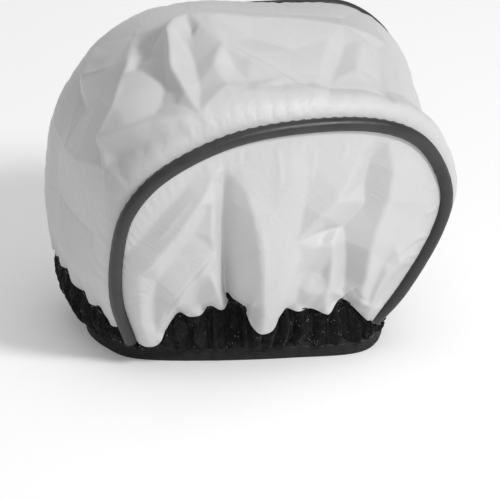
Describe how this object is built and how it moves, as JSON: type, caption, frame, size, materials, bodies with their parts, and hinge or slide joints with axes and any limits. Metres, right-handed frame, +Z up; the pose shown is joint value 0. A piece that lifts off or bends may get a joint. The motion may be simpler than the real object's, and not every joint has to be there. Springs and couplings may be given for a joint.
{
  "type": "flash bounce diffuser",
  "caption": "White nylon bonnet with piped front and rear panels and a black gathered elastic mouth, stretched over a camera flash head to soften its light.",
  "frame": {"origin": "centre of the outline, at the flat lower edge of the elastic band", "axes": "+Z up from the mouth to the crown, -Y out of the front panel, +X to the right seen from the front"},
  "size_m": [0.1104, 0.0828, 0.0946],
  "materials": {
    "white_nylon": "satin twill weave, light diffusing",
    "black_vinyl": "satin",
    "filler_cord": "matte",
    "binding_tape": "matte plain weave",
    "sewing_thread": "matte",
    "black_knit": "matte open knit",
    "black_elastic": "matte ribbed weave"
  },
  "bodies": {
    "rear_frame": {"rear_panel": "white_nylon", "crown_strip": "white_nylon", "rear_piping_sleeve": "black_vinyl", "rear_piping_cord": "filler_cord", "rear_seam_binding": "binding_tape", "rear_seam_thread": "sewing_thread", "hem_thread": "sewing_thread", "band_thread": "sewing_thread", "collar_knit": "black_knit", "elastic_band": "black_elastic"},
    "front_frame": {"front_panel": "white_nylon", "front_piping_sleeve": "black_vinyl", "front_piping_cord": "filler_cord", "front_seam_binding": "binding_tape", "front_seam_thread": "sewing_thread"}
  },
  "joints": [
    {"name": "fold_flat", "type": "hinge", "parent": "rear_frame", "child": "front_frame", "pos_m": [-0.00338, -0.00192, -0.093], "axis": [-1, 0, 0], "range_deg": [0, 12], "deforming": ["crown_strip", "collar_knit", "elastic_band", "hem_thread", "band_thread"]}
  ]
}
